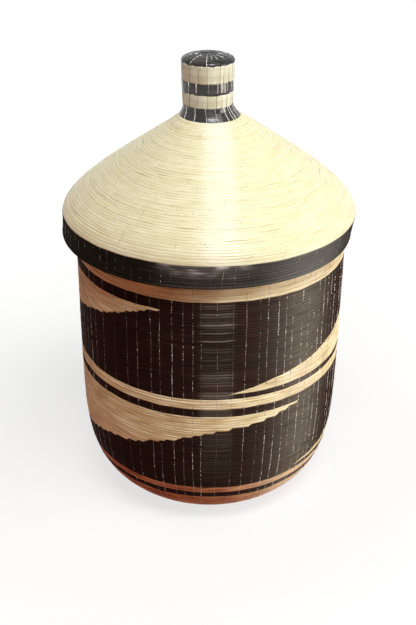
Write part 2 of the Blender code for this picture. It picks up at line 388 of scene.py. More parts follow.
@dataclass
class Outline:
    """A curved outer line of a turned wall, walked by its own length.

    Attributes:
        radii: distances from the axis, point by point.
        heights: heights of the same points.
    """

    radii: Array
    heights: Array

    def __post_init__(self) -> None:
        """Measures the line up to each of its points."""
        steps = np.hypot(np.diff(self.radii), np.diff(self.heights))
        self.lengths = np.concatenate([[0.0], np.cumsum(steps)])
        self.length = float(self.lengths[-1])

    def heading(self, along: Array) -> tuple[Array, Array]:
        """Unit direction of the line, from the points 0.5 mm to each side.

        Args:
            along: lengths along the line.

        Returns:
            Its parts outwards and upwards.
        """
        reach = 0.5 * MM
        low = np.clip(along - reach, 0.0, self.length - 2 * reach)
        high = low + 2 * reach
        out, up = (
            np.interp(high, self.lengths, line) - np.interp(low, self.lengths, line)
            for line in (self.radii, self.heights)
        )
        size = np.hypot(out, up)
        return out / size, up / size

    def place(self, along: Array, deep: Array) -> tuple[Array, Array]:
        """Radius and height of points behind the line.

        A point is the line's point at that length plus its depth along the direction square to the
        line, which points into the wall. Past either end the line runs straight on.

        Args:
            along: lengths along the line.
            deep: depths behind it.

        Returns:
            The radii, never below zero, and the heights.
        """
        within = np.clip(along, 0.0, self.length)
        past = along - within
        out, up = self.heading(within)
        radius = np.interp(within, self.lengths, self.radii) + past * out - deep * up
        height = np.interp(within, self.lengths, self.heights) + past * up + deep * out
        return np.maximum(radius, 0.0), height

    def at(self, along: float) -> Point:
        """Radius and height of the line's own point at one length."""
        radius, height = self.place(np.array(along), np.array(0.0))
        return float(radius), float(height)


@dataclass
class Wander:
    """Seeded unevenness of hand work: a sum of waves round the basket that drifts from course to course.

    Its value is the sum of equal waves cos(k azimuth + phase), each with its own whole number k, so
    it meets itself after a full turn. Each wave's phase takes a random step from course to course.

    Attributes:
        seed: the random seed.
        waves: (fewest, most) waves round the basket.
        size: root mean square of the value.
        drift: size of a phase's step from course to course, in radians.
    """

    COURSES = 260
    TERMS = 18

    seed: int
    waves: tuple[int, int]
    size: float
    drift: float

    def __post_init__(self) -> None:
        """Draws the waves' numbers and their phases on each course."""
        random = np.random.default_rng(self.seed)
        self.counts = random.integers(self.waves[0], self.waves[1] + 1, self.TERMS)
        steps = random.normal(0.0, self.drift, (self.COURSES, self.TERMS))
        steps[0] = random.uniform(0.0, math.tau, self.TERMS)
        self.phases = np.cumsum(steps, axis=0)

    def at(self, course: Array | int, azimuth: Array) -> Array:
        """Its value round the basket.

        Args:
            course: the number of one course, or of one for each azimuth.
            azimuth: the azimuths.

        Returns:
            The value at each azimuth.
        """
        phases = self.phases[np.asarray(course) % self.COURSES]
        waves = np.cos(np.multiply.outer(azimuth, self.counts) + phases)
        return self.size * math.sqrt(2 / self.TERMS) * waves.sum(axis=-1)


@dataclass
class Panels:
    """Shades of broad strips that run from one stitch column to the next.

    Attributes:
        azimuths: the columns' places.
        seed: the random seed.
    """

    azimuths: Array
    seed: int

    def at(self, course: Array | int, azimuth: Array) -> Array:
        """The shade of the strip that each azimuth lies in.

        Args:
            course: the course's number, which makes no difference.
            azimuth: the azimuths.

        Returns:
            The shade at each azimuth.
        """
        edges = np.sort(np.mod(self.azimuths + math.pi, math.tau) - math.pi)
        shades = np.random.default_rng(self.seed).normal(0.0, 1.0, len(edges))
        return shades[np.searchsorted(edges, azimuth) % len(edges)]


@dataclass(frozen=True)
class Course:
    """One sewn course, or the part of one that is a single colour.

    Attributes:
        number: its place in the coil, which picks its unevenness.
        middle: length along the outline to its middle.
        tall: its height along the outline.
        span: azimuths where it starts and ends, a full turn if it closes on itself.
        blend: lengths over which it starts and ends, as the other colour's straw gives way to it.
    """

    number: int
    middle: float
    tall: float
    span: tuple[float, float] = EVERYWHERE
    blend: tuple[float, float] = (4 * MM, 4 * MM)

    @property
    def closed(self) -> bool:
        """True if it runs all round."""
        return self.span[1] - self.span[0] > math.tau - 1e-9


@dataclass
class Tubes:
    """Closed tubes collected for one mesh, with the attributes that their finish reads.

    Attributes:
        points: each tube's points.
        faces: each tube's faces, four corners to a face.
        lay: the pattern's coordinates at the points.
        values: the other attributes at the points, by name.
        count: how many points there are.
    """

    points: list[Array] = field(default_factory=list)
    faces: list[Array] = field(default_factory=list)
    lay: list[Array] = field(default_factory=list)
    values: dict[str, list[Array]] = field(default_factory=lambda: {"tone": [], "joint": [], "wear": []})
    count: int = 0

    def add(self, grid: Array, lay: Array, closed: bool, **values: Array | float) -> None:
        """Adds a tube whose stations are the grid's rows.

        Corner (i, j) joins (i + 1, j), (i + 1, j + 1) and (i, j + 1), which faces outwards where the
        sections run up the outer face. A tube that isn't closed gets a cap of quads at each end.

        Args:
            grid: places, shaped (stations, section points, 3).
            lay: the pattern's coordinates, shaped alike.
            closed: True if the last station joins the first.
            **values: tone, the colour's shift; joint, about 1 in the joint between courses and 0 on
            the crest; and wear, the share of painted sheen and highlight, from 0 to 1. Each is
            a number or is shaped (stations, section points), or fits that shape.
        """
        stations, around = grid.shape[:2]
        corner = np.arange(stations * around).reshape(stations, around)
        ahead = np.roll(corner, -1, axis=0) if closed else corner[1:]
        here = corner if closed else corner[:-1]
        quads = [here, ahead, np.roll(ahead, -1, axis=1), np.roll(here, -1, axis=1)]
        self.faces.append(np.stack(quads, axis=-1).reshape(-1, 4) + self.count)
        if not closed:
            near = np.arange(around // 2 - 1)
            far = around - 1 - near
            cap = np.stack([near, near + 1, far - 1, far], axis=-1)
            self.faces.append(cap + self.count)
            self.faces.append(cap[:, ::-1] + self.count + (stations - 1) * around)
        self.points.append(grid.reshape(-1, 3))
        self.lay.append(lay.reshape(-1, 3))
        for label, value in values.items():
            self.values[label].append(np.broadcast_to(value, grid.shape[:2]).reshape(-1))
        self.count += stations * around

    def make(
        self, name: str, body: str, material: bpy.types.Material, node: str | None = None
    ) -> None:
        """Turns what was collected into a smooth-shaded piece at the origin.

        Args:
            name: the piece's name.
            body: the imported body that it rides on.
            material: its only material.
            node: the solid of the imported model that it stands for, if it does.
        """
        points = np.concatenate(self.points)
        faces = np.concatenate(self.faces)
        mesh = bpy.data.meshes.new(name)
        mesh.vertices.add(len(points))
        mesh.vertices.foreach_set("co", points.astype(np.float32).ravel())
        mesh.loops.add(faces.size)
        mesh.loops.foreach_set("vertex_index", faces.astype(np.int32).ravel())
        mesh.polygons.add(len(faces))
        mesh.polygons.foreach_set("loop_start", np.arange(0, faces.size, 4, dtype=np.int32))
        mesh.update(calc_edges=True)
        mesh.validate()
        lay = mesh.attributes.new("lay", "FLOAT_VECTOR", "POINT")
        lay.data.foreach_set("vector", np.concatenate(self.lay).astype(np.float32).ravel())
        for label, values in self.values.items():
            made = mesh.attributes.new(label, "FLOAT", "POINT")
            made.data.foreach_set("value", np.concatenate(values).astype(np.float32))
        mesh.shade_smooth()
        mesh.materials.append(material)
        piece = bpy.data.objects.new(name, mesh)
        bpy.context.scene.collection.objects.link(piece)
        if node:
            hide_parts(node)
        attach(piece, body)
        log.info("%s: %d triangles", name, 2 * len(faces))


def true_axis(height: Array) -> Array:
    """The sideways shift of what stands true on the axis: none."""
    return np.zeros_like(height)


def no_painted_light(number: int, along: Array, azimuth: Array) -> Array:
    """No painted light: none."""
    return np.zeros(np.broadcast_shapes(along.shape, azimuth.shape))


@dataclass
class Coil:
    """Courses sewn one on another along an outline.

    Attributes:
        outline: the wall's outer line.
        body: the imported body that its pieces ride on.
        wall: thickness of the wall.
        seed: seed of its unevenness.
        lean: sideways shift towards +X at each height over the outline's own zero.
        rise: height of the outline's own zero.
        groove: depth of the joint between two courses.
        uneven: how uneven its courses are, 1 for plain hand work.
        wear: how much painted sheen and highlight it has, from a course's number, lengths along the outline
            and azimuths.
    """

    # A course's section, walked up its outer face and down its inner one: (across in half courses,
    # how far it dips into the joint, 0 on the outer face or 1 on the inner, how dark the joint is).
    SECTION = np.array(
        [
            (-1.0, 1.0, 0.0, 1.0),
            (-0.84, 0.32, 0.0, 0.4),
            (-0.45, 0.0, 0.0, 0.0),
            (0.45, 0.0, 0.0, 0.0),
            (0.84, 0.32, 0.0, 0.4),
            (1.0, 1.0, 0.0, 1.0),
            (1.0, 1.0, 1.0, 1.0),
            (0.7, 0.1, 1.0, 0.3),
            (-0.7, 0.1, 1.0, 0.3),
            (-1.0, 1.0, 1.0, 1.0),
        ]
    )
    # Half of a course's height, made 4% taller so that neighbours touch.
    HALF = 0.52

    outline: Outline
    body: str
    wall: float
    seed: int
    lean: Curve = true_axis
    rise: float = 0.0
    groove: float = 0.5 * MM
    uneven: float = 1.0
    wear: Callable[[int, Array, Array], Array] = no_painted_light

    def __post_init__(self) -> None:
        """Draws the unevenness that all its courses share.

        The crests stand out, the courses wave up and down and tilt, the straw changes shade, and
        the joints gape, each by its own seed, waves round the basket, size and drift.
        """
        self.bulge = Wander(self.seed, (1, 60), 0.05 * MM * self.uneven, 0.9)
        self.wave = Wander(self.seed + 1, (2, 34), 0.10 * MM * self.uneven, 0.5)
        self.tilt = Wander(self.seed + 2, (1, 24), 0.03 * self.uneven, 1.2)
        self.shade = Wander(self.seed + 3, (1, 30), 1.0, 1.4)
        self.gape = Wander(self.seed + 4, (1, 40), 0.35, 1.6)
        random = np.random.default_rng(self.seed + 5)
        self.swell = random.normal(0.0, 0.05 * MM * self.uneven, Wander.COURSES)
        self.roll = random.normal(0.0, 0.05 * self.uneven, Wander.COURSES)
        self.wide = np.clip(random.normal(1.0, 0.35, Wander.COURSES), 0.4, 2.0)

    def stand(self, number: Array | int, azimuth: Array) -> Array:
        """How far a course's crest stands out from the outline at each azimuth."""
        return self.bulge.at(number, azimuth) + self.swell[np.asarray(number) % Wander.COURSES]

    def joint_depth(self, number: int, azimuth: Array) -> Array:
        """Depth of the joint below a course at each azimuth, in shares of the groove."""
        return np.clip(self.wide[number % Wander.COURSES] + self.gape.at(number, azimuth), 0.25, 2.2)

    def surface(self, along: Array, deep: Array, azimuth: Array) -> Array:
        """Places of points in the wall.

        In x it is the radius times the azimuth's sine, plus the lean, and in y minus the radius times
        its cosine.

        Args:
            along: lengths along the outline.
            deep: depths behind it.
            azimuth: azimuths.

        Returns:
            The places, with x, y and z in the last axis.
        """
        radius, height = self.outline.place(along, deep)
        x = radius * np.sin(azimuth) + self.lean(height)
        return np.stack([x, -radius * np.cos(azimuth), height + self.rise], axis=-1)

    def stations(self, course: Course) -> Array:
        """Where a course's section is set out, about every 3 mm.

        Args:
            course: the course.

        Returns:
            The azimuths, without the last one where the course closes on itself.
        """
        first, last = course.span
        length = (last - first) * self.outline.at(course.middle)[0]
        count = max(120 if course.closed else 16, round(length / STEP))
        return np.linspace(first, last, count + 1)[: count if course.closed else count + 1]

    def ends(self, course: Course, azimuth: Array) -> tuple[Array, Array]:
        """How a course narrows to its ends.

        Its height shrinks in proportion to the length left to the end, down to a tenth. It stays
        on the course below at its start and under the course above at its end, so that the other
        colour's course fills the rest of the row.

        Args:
            course: the course.
            azimuth: its stations.

        Returns:
            Its height's share at each station, and how far its middle moves up, in half courses.
        """
        if course.closed:
            return np.ones_like(azimuth), np.zeros_like(azimuth)
        radius = self.outline.at(course.middle)[0]
        begun = np.clip((azimuth - course.span[0]) * radius / course.blend[0], 0.0, 1.0)
        left = np.clip((course.span[1] - azimuth) * radius / course.blend[1], 0.0, 1.0)
        return 0.1 + 0.9 * np.minimum(begun, left), 0.9 * (begun - left)

    def lay_course(self, course: Course, tubes: Tubes) -> None:
        """Adds one course to the tubes.

        Each station's section is scaled to the course, made 4% taller so that neighbours touch,
        tilted, moved up or down and in or out by the unevenness, and drawn in at its ends. Its
        outer corners dip into the joints by the groove's depth there.

        Args:
            course: the course.
            tubes: what it is added to.
        """
        azimuth = self.stations(course)
        size, move = self.ends(course, azimuth)
        across, dip, back, joint = self.SECTION.T
        half = self.HALF * course.tall
        below, above = (self.joint_depth(course.number + i, azimuth)[:, None] for i in (0, 1))
        opened = np.where(across < 0, below, above)
        deep = back * self.wall + (1 - 2 * back) * dip * self.groove * opened
        middle = course.middle + self.wave.at(course.number, azimuth) + half * move
        along = middle[:, None] + half * across * size[:, None]
        turned = self.tilt.at(course.number, azimuth) + self.roll[course.number % Wander.COURSES]
        sunk = deep + turned[:, None] * half * across
        thick = (0.8 + 0.2 * size)[:, None]
        stand = self.stand(course.number, azimuth)[:, None]
        sunk = self.wall / 2 + (sunk - self.wall / 2) * thick - stand
        grid = self.surface(along, sunk, azimuth[:, None])
        lay = np.stack([grid[..., 0], grid[..., 1], along], axis=-1)
        tone = self.shade.at(course.number, azimuth)[:, None]
        # The share of painted sheen and highlight at each point.
        wear = self.wear(course.number, along, azimuth[:, None])
        tubes.add(grid, lay, course.closed, tone=tone, joint=joint * opened, wear=wear)

    def piece(self, node: str, straw: StrawFinish, courses: Sequence[Course]) -> None:
        """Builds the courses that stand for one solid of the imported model.

        Args:
            node: the solid's name.
            straw: what they are made of.
            courses: its courses.
        """
        tubes = Tubes()
        for course in courses:
            self.lay_course(course, tubes)
        tubes.make(f"{node}_courses", self.body, straw.material(), node)


@dataclass(frozen=True)
class Needlework:
    """How the stitches of one stretch of a coil are sewn.

    Attributes:
        width: mean width of a stitch.
        shown: share of the stitches that lie on the surface.
        clean: mean paleness of the fibre, from 0, dyed, to 1, clean.
        spread: how much the paleness differs from stitch to stitch.
        proud: how far it stands over the straw.
        reach: how far it reaches over its course, in half courses.
        shortest: the shortest stitch's share of that reach.
    """

    width: float
    shown: float
    clean: float
    spread: float
    proud: float = 0.2 * MM
    reach: float = 0.9
    shortest: float = 1.0


ON_DARK = Needlework(width=0.42 * MM, reach=0.84, shown=0.95, clean=0.42, spread=0.26, shortest=0.5)
ON_NATURAL = Needlework(width=0.34 * MM, proud=0.12 * MM, shown=0.7, clean=0.72, spread=0.12)


@dataclass
class Columns:
    """Columns of stitches up a coil, one stitch to a course.

    Attributes:
        azimuths: where each column stands on its first course.
        seed: seed of its unevenness.
        step: how far a column strays sideways from one course to the next.
        steady: the course where the columns stand just where they are told.
    """

    azimuths: Array
    seed: int
    step: float = 0.09 * MM
    steady: int = 0

    def __post_init__(self) -> None:
        """Draws how much each column wanders and how strongly it shows."""
        self.random = np.random.default_rng(self.seed)
        self.strength = np.clip(self.random.normal(1.0, 0.28, len(self.azimuths)), 0.45, 1.6)
        steps = self.random.normal(0.0, self.step, (Wander.COURSES, len(self.azimuths)))
        self.strays = np.cumsum(steps, axis=0)
        self.strays -= self.strays[self.steady]
        # Runs of a column where the fibre is cleaner or more soiled, over about eight courses.
        rough = self.random.normal(0.0, 1.0, (Wander.COURSES, len(self.azimuths)))
        window = np.hanning(17) / np.sqrt((np.hanning(17) ** 2).sum())
        self.soiling = np.apply_along_axis(np.convolve, 0, rough, window, "same")

    def sew(
        self,
        name: str,
        coil: Coil,
        courses: Sequence[Course],
        work: Needlework,
        keep: Callable[[float], Array] | None = None,
    ) -> None:
        """Builds the stitches over some courses as one piece.

        A stitch is a flat band with four stations over the course's face. Each station's section
        is a low trapezium whose foot is buried in the straw. A course that isn't closed is only
        sewn between its ends.

        Args:
            name: the piece's name.
            coil: the coil that is sewn.
            courses: the courses.
            work: how they are sewn.
            keep: picks which columns a course has, from its middle.
        """
        drawn: list[Array] = []
        for course in courses:
            row = course.number % Wander.COURSES
            radius = max(coil.outline.at(course.middle)[0], 5 * MM)
            azimuth = self.azimuths + np.clip(self.strays[row] / radius, -0.05, 0.05)
            width = work.width * self.strength * self.random.uniform(0.6, 1.3, len(azimuth)) / radius
            clean = self.random.normal(0.0, 1.0, len(azimuth)) + 0.8 * self.soiling[row]
            clean = work.clean + work.spread * (clean + 2 * (self.strength - 1))
            kept = self.random.uniform(size=len(azimuth)) < work.shown
            if keep is not None:
                kept &= keep(course.middle)
            if not course.closed:
                past = np.mod(azimuth - course.span[0], math.tau)
                kept &= past < course.span[1] - course.span[0]
            same = (np.full(len(azimuth), v) for v in (course.number, course.middle, course.tall))
            drawn.append(np.stack([azimuth, width, clean, *same])[:, kept])
        azimuth, width, clean, number, middle, tall = np.concatenate(drawn, axis=1)
        number = number.astype(int)
        stand = coil.stand(number, azimuth)

        # Stations over the course, in half courses, and the depth of the straw under them.
        reach = work.reach * self.random.uniform(work.shortest, 1.0, len(azimuth))
        station = reach[:, None] * np.array([-1.0, -0.5, 0.5, 1.0])
        face = coil.SECTION[3:6]
        straw = np.interp(np.abs(station), face[:, 0], face[:, 1]) * coil.groove
        # Section of the band: (across in widths, height over the straw in shares of proud).
        band = np.array([(-0.5, -1.5), (-0.34, 1.0), (0.34, 1.0), (0.5, -1.5)])
        slant = self.random.normal(0.0, 0.0012, len(azimuth))
        across = azimuth[:, None, None] + width[:, None, None] * band[:, 0]
        across = across + (slant[:, None] * station)[..., None]
        along = (middle + coil.wave.at(number, azimuth))[:, None] + (tall / 2)[:, None] * station
        deep = straw[..., None] - work.proud * band[:, 1] - stand[:, None, None]
        grid = coil.surface(along[..., None], deep, across)
        self.join(name, coil.body, grid, np.clip(clean, 0.0, 1.0))

    @staticmethod
    def join(name: str, body: str, grid: Array, clean: Array) -> None:
        """Joins the stitches' corners into closed bands, all at once.

        Args:
            name: the piece's name.
            body: the body that it rides on.
            grid: places, shaped (stitches, stations, section points, 3).
            clean: each stitch's paleness.
        """
        stitches, stations, around = grid.shape[:3]
        corner = np.arange(stations * around).reshape(stations, around)
        turned = np.roll(corner, -1, axis=1)
        sides = np.stack([corner[:-1], turned[:-1], turned[1:], corner[1:]], axis=-1).reshape(-1, 4)
        one = np.concatenate([sides, corner[:1, ::-1], corner[-1:]])
        faces = (one[None] + (np.arange(stitches) * stations * around)[:, None, None]).reshape(-1, 4)
        corners = grid.reshape(-1, 3)
        plain = [np.zeros(len(corners))]
        values = {"tone": [np.repeat(clean, stations * around)], "joint": plain, "wear": plain}
        Tubes([corners], [faces], [corners], values).make(name, body, SEWING_FIBRE.material())


def stack(first_number: int, start: float, rows: int, tall: float) -> list[Course]:
    """Full courses one on another.

    Args:
        first_number: the first one's number.
        start: length along the outline where they start.
        rows: how many.
        tall: each one's height.

    Returns:
        The courses in order.
    """
    return [Course(first_number + i, start + (i + 0.5) * tall, tall) for i in range(rows)]


def spread_columns(near: Sequence[float], pitch: float, seed: int) -> Array:
    """Azimuths of stitch columns all round.

    Args:
        near: the columns seen from the front, in degrees and in order.
        pitch: mean spacing of the others, in degrees.
        seed: the random seed.

    Returns:
        All azimuths, in radians.
    """
    gap = 360 - (near[-1] - near[0])
    count = round(gap / pitch)
    steps = np.random.default_rng(seed).uniform(0.7, 1.3, count)
    others = near[-1] + np.cumsum(steps / steps.sum() * gap)[:-1]
    return np.radians(np.concatenate([near, others]))


# The basket


@dataclass
class Body:
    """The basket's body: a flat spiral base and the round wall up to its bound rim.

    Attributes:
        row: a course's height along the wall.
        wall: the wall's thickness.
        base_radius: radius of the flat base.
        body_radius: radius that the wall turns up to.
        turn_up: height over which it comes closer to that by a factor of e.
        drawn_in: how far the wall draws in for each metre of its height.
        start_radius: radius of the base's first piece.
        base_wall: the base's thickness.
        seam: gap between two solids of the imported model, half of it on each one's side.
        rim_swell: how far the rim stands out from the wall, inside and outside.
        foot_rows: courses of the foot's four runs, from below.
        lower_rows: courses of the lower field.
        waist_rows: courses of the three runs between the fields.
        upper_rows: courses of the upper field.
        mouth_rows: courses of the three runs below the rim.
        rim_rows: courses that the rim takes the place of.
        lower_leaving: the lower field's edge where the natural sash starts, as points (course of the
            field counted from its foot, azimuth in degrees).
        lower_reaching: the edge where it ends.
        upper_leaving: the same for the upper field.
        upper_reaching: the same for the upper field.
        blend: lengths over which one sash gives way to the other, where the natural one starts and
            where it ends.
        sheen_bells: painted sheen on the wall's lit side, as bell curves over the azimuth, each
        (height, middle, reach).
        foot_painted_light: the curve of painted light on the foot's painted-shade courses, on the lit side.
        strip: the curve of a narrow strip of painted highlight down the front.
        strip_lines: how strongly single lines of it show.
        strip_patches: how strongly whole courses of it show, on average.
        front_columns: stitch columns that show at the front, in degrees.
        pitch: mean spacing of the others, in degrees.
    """

    row: float = 2.4 * MM
    wall: float = 3.2 * MM
    base_radius: float = 74 * MM
    body_radius: float = 117.4 * MM
    turn_up: float = 23 * MM
    drawn_in: float = 0.009
    start_radius: float = 12 * MM
    base_wall: float = 2.9 * MM
    seam: float = 0.3 * MM
    rim_swell: float = 0.4 * MM
    foot_rows: tuple[int, int, int, int] = (20, 3, 3, 2)
    lower_rows: int = 30
    waist_rows: tuple[int, int, int] = (3, 4, 2)
    upper_rows: int = 31
    mouth_rows: tuple[int, int, int] = (4, 6, 9)
    rim_rows: int = 2
    lower_leaving: tuple[Point, ...] = ((0.5, 44), (1.5, 55), (2.5, 66), (5, 80), (30, 154))
    lower_reaching: tuple[Point, ...] = (
        (0, -101), (9.1, -59.4), (12.2, -44.9), (14.2, -33.4), (17, -23.3), (19.6, -13.5), (22.6, -2),
        (25, 12.5), (27, 26.5), (28.5, 34.5), (29.5, 40.5),
    )
    upper_leaving: tuple[Point, ...] = (
        (0.5, 10.5), (1.5, 16), (3.5, 26), (6, 42), (8.5, 58), (12, 77), (31, 197),
    )
    upper_reaching: tuple[Point, ...] = (
        (0, -132), (16.1, -77.6), (20.2, -59.4), (23.6, -44.9), (27.5, -33.4), (29.5, -26.5), (30.5, -20.5),
    )
    blend: tuple[float, float] = (11 * MM, 2.5 * MM)
    sheen_bells: tuple[Triple, ...] = ((0.05, 0.3, 0.6), (0.45, 0.73, 0.24))
    foot_painted_light: Triple = (0.95, 0.9, 0.5)
    strip: Triple = (1.0, 0.05, 0.115)
    strip_lines: float = 0.6
    strip_patches: float = 0.13
    front_columns: tuple[float, ...] = (
        -55, -49.1, -42, -35.2, -30.2, -23.8, -20.2, -14.9, -10.4, -6.6, -3.3, 2.9, 9.1, 14.2,
        19.9, 23.2, 27.9, 31.4, 34.6, 39.8, 43.4, 46.6, 50.1, 53.4, 56.8, 60.0, 63.3, 66.5,
    )
    pitch: float = 3.9

    def __post_init__(self) -> None:
        """Lays out the wall's outline, its coil and its stitch columns.

        The wall's radius is the body's, less what is left of the turn-up, which shrinks as e to
        minus the height over the turn-up's height, and less the drawing in.
        """
        rows = sum(self.foot_rows) + self.lower_rows + sum(self.waist_rows) + self.upper_rows
        self.rows = rows + sum(self.mouth_rows) + self.rim_rows
        heights = np.linspace(0.0, (self.rows + 1) * self.row, 1500)
        swell = (self.body_radius - self.base_radius) * np.exp(-heights / self.turn_up)
        outline = Outline(self.body_radius - swell - self.drawn_in * heights, heights)
        # The wall's straw gets painted sheen on its lit side and a painted highlight strip down the front.
        self.coil = Coil(outline, "basket_body", self.wall, 11, groove=0.34 * MM, wear=self.painted_sheen)
        self.mouth_radius, self.top = outline.at(self.rows * self.row)
        self.done = 0

        # The painted highlight strip's lines and patches, course by course, weaker towards the foot.
        random = np.random.default_rng(17)
        above_foot = np.arange(self.rows) - sum(self.foot_rows)
        strength = np.clip(above_foot / (self.lower_rows + sum(self.waist_rows)), 0.0, 1.0)
        self.lines = self.strip_lines * strength * random.uniform(size=self.rows) ** 3
        smooth = np.convolve(random.normal(size=self.rows + 4), np.ones(5) / math.sqrt(5), "valid")
        self.patches = self.strip_patches * strength * np.clip(1 + smooth, 0.1, 3.0)
        # The foot's courses with painted shade, which get painted light on their lit side.
        wall, line, pale = self.foot_rows[:3]
        self.shaded_foot_courses = np.zeros(self.rows, bool)
        self.shaded_foot_courses[:wall] = self.shaded_foot_courses[wall + line : wall + line + pale] = True
        seen_on = self.rows - sum(self.mouth_rows) - self.upper_rows // 2
        # Painted shade and painted light on the stitches: the columns on the side away from the light are
        # drawn thinner and darker, and those on the lit side wider and paler.
        azimuths = spread_columns(self.front_columns, self.pitch, 5)
        self.columns = Columns(azimuths, 6, steady=seen_on)
        self.columns.strength *= 1 - bell(azimuths, 0.6, -1.1, 0.8)
        self.columns.strength += bell(azimuths, 0.5, 1.0, 0.45)

    def painted_sheen(self, number: int, along: Array, azimuth: Array) -> Array:
        """Painted sheen on the lit side and a painted highlight strip down the front.

        It is a broad bell curve of the azimuth about 17 degrees, one about 42 degrees, and a strip
        about 3 degrees. The strip is a slowly changing share of the whole course, and a line of painted
        highlight along its upper half that is strong on a few courses and weak on the others, both
        weaker towards the foot. The foot's painted-shade courses have one more curve about 52 degrees,
        painted light on their lit side.

        Args:
            number: the course's number.
            along: lengths along the outline, shaped (stations, section points).
            azimuth: the stations' azimuths, shaped (stations, 1).

        Returns:
            How much painted light the straw has, shaped as the lengths are.
        """
        broad = sum(bell(azimuth, *curve) for curve in self.sheen_bells)
        if self.shaded_foot_courses[number]:
            broad = broad + bell(azimuth, *self.foot_painted_light)
        upper = 0.5 + (along - along.mean(axis=1, keepdims=True)) / (0.6 * self.row)
        strip = self.patches[number] + self.lines[number] * np.clip(upper, 0.0, 1.0)
        return broad + strip * bell(azimuth, *self.strip, power=8)

    def build(self) -> None:
        """Builds the base, the wall, its rim and the stitches."""
        self.build_base()
        foot = {
            "foot_wall_natural": FOOT_STRAW,
            "foot_line_dark": DARK_STRAW,
            "foot_line_natural": FOOT_STRAW,
            "lower_field_edge_dark": DARK_STRAW,
        }
        waist = {
            "waist_line_dark": DARK_STRAW,
            "waist_line_natural": NATURAL_STRAW,
            "upper_field_edge_dark": DARK_STRAW,
        }
        mouth = {
            "top_line_dark": DARK_STRAW,
            "top_line_natural": NATURAL_STRAW,
            "mouth_wall_dark": DARK_STRAW,
        }
        self.build_runs(foot, self.foot_rows)
        self.build_field("lower_field", self.lower_rows, self.lower_leaving, self.lower_reaching)
        self.build_runs(waist, self.waist_rows)
        self.build_field("upper_field", self.upper_rows, self.upper_leaving, self.upper_reaching)
        self.build_runs(mouth, self.mouth_rows)
        self.build_rim()

    def next_courses(self, rows: int) -> list[Course]:
        """The wall's next courses, which then count as laid.

        Args:
            rows: how many.

        Returns:
            The courses.
        """
        courses = stack(self.done, self.done * self.row, rows, self.row)
        self.done += rows
        return courses

    def build_runs(self, runs: dict[str, StrawFinish], rows: Sequence[int]) -> None:
        """Builds level runs of courses and the stitches over them.

        Args:
            runs: each run's straw, by its solid.
            rows: each run's number of courses.
        """
        for (node, straw), count in zip(runs.items(), rows):
            courses = self.next_courses(count)
            self.coil.piece(node, straw, courses)
            work = ON_DARK if straw is DARK_STRAW else ON_NATURAL
            self.columns.sew(f"{node}_stitches", self.coil, courses, work)

    def build_field(
        self, name: str, rows: int, leaving: tuple[Point, ...], reaching: tuple[Point, ...]
    ) -> None:
        """Builds a field that a dark and a natural sash share, each course ending at both edges.

        An edge's azimuth on a course is read off its points with straight lines between them, and
        then moved by up to a few millimetres, because the maker ends each straw where it runs out.

        Args:
            name: what its solids' names start with.
            rows: the field's courses.
            leaving: the edge where the natural sash starts.
            reaching: the edge where it ends.
        """
        random = np.random.default_rng(self.done)
        courses = self.next_courses(rows)
        level = np.arange(rows) + 0.5
        start = np.radians(np.interp(level, *np.transpose(leaving)))
        start = start + random.normal(0.0, 0.5 * MM, rows) / self.body_radius
        end = np.radians(np.interp(level, *np.transpose(reaching)))
        end = end + random.normal(0.0, 1.3 * MM, rows) / self.body_radius
        ease, bite = (length / 2 / self.body_radius for length in self.blend)
        dark, natural = [], []
        for course, first, last in zip(courses, start, end):
            spans = (last - bite, first + ease), (first - ease, last + bite + math.tau)
            for sash, span, blend in zip((dark, natural), spans, (self.blend[::-1], self.blend)):
                sash.append(Course(course.number, course.middle, self.row, span, blend))
        for colour, straw, sash, work in (
            ("dark", DARK_STRAW, dark, ON_DARK),
            ("natural", NATURAL_STRAW, natural, ON_NATURAL),
        ):
            node = f"{name}_{colour}"
            self.coil.piece(node, straw, sash)
            self.columns.sew(f"{node}_stitches", self.coil, sash, work)

    def build_base(self) -> None:
        """Builds the spiral base: one course that winds out from the middle, in two pieces.

        The course's middle is at half a row plus a row for each turn from the axis. Equal steps of
        length along it are equal steps of the azimuth's square.
        """
        flat = Outline(np.array([0.0, self.base_radius]), np.array([0.0, 0.0]))
        coil = Coil(flat, self.coil.body, self.base_wall, 41)
        across, dip, back, joint = Coil.SECTION.T
        deep = back * self.base_wall + (1 - 2 * back) * dip * coil.groove
        # Turns from the axis where the first piece starts, the second takes over, and it ends.
        turns = (0.12, self.start_radius / self.row, self.base_radius / self.row - 1.0)
        for node, first, last in zip(("base_start", "base_disc"), turns, turns[1:]):
            reach = math.tau * self.row * (last**2 - first**2) / 2
            turn = np.sqrt(np.linspace(first**2, last**2, max(24, round(reach / STEP))))
            azimuth = math.tau * turn
            along = self.row * (turn[:, None] + 0.5 + Coil.HALF * across)
            grid = coil.surface(along, deep, azimuth[:, None])
            lay = np.stack([grid[..., 0], grid[..., 1], along], axis=-1)
            tone = coil.shade.at(np.floor(turn).astype(int), azimuth)[:, None]
            tubes = Tubes()
            tubes.add(grid, lay, False, tone=tone, joint=joint, wear=0.0)
            tubes.make(f"{node}_courses", coil.body, FOOT_STRAW.material(), node)

    def build_rim(self) -> None:
        """Builds the rim, a fat coil bound round and round with dark straw."""
        low = self.coil.outline.at(self.done * self.row)[1] + self.seam / 2
        centre = (self.mouth_radius - self.wall / 2, (low + self.top) / 2)
        half = (self.wall / 2 + self.rim_swell, (self.top - low) / 2)
        bound_coil("mouth_rim", self.coil.body, DARK_STRAW, centre, half)


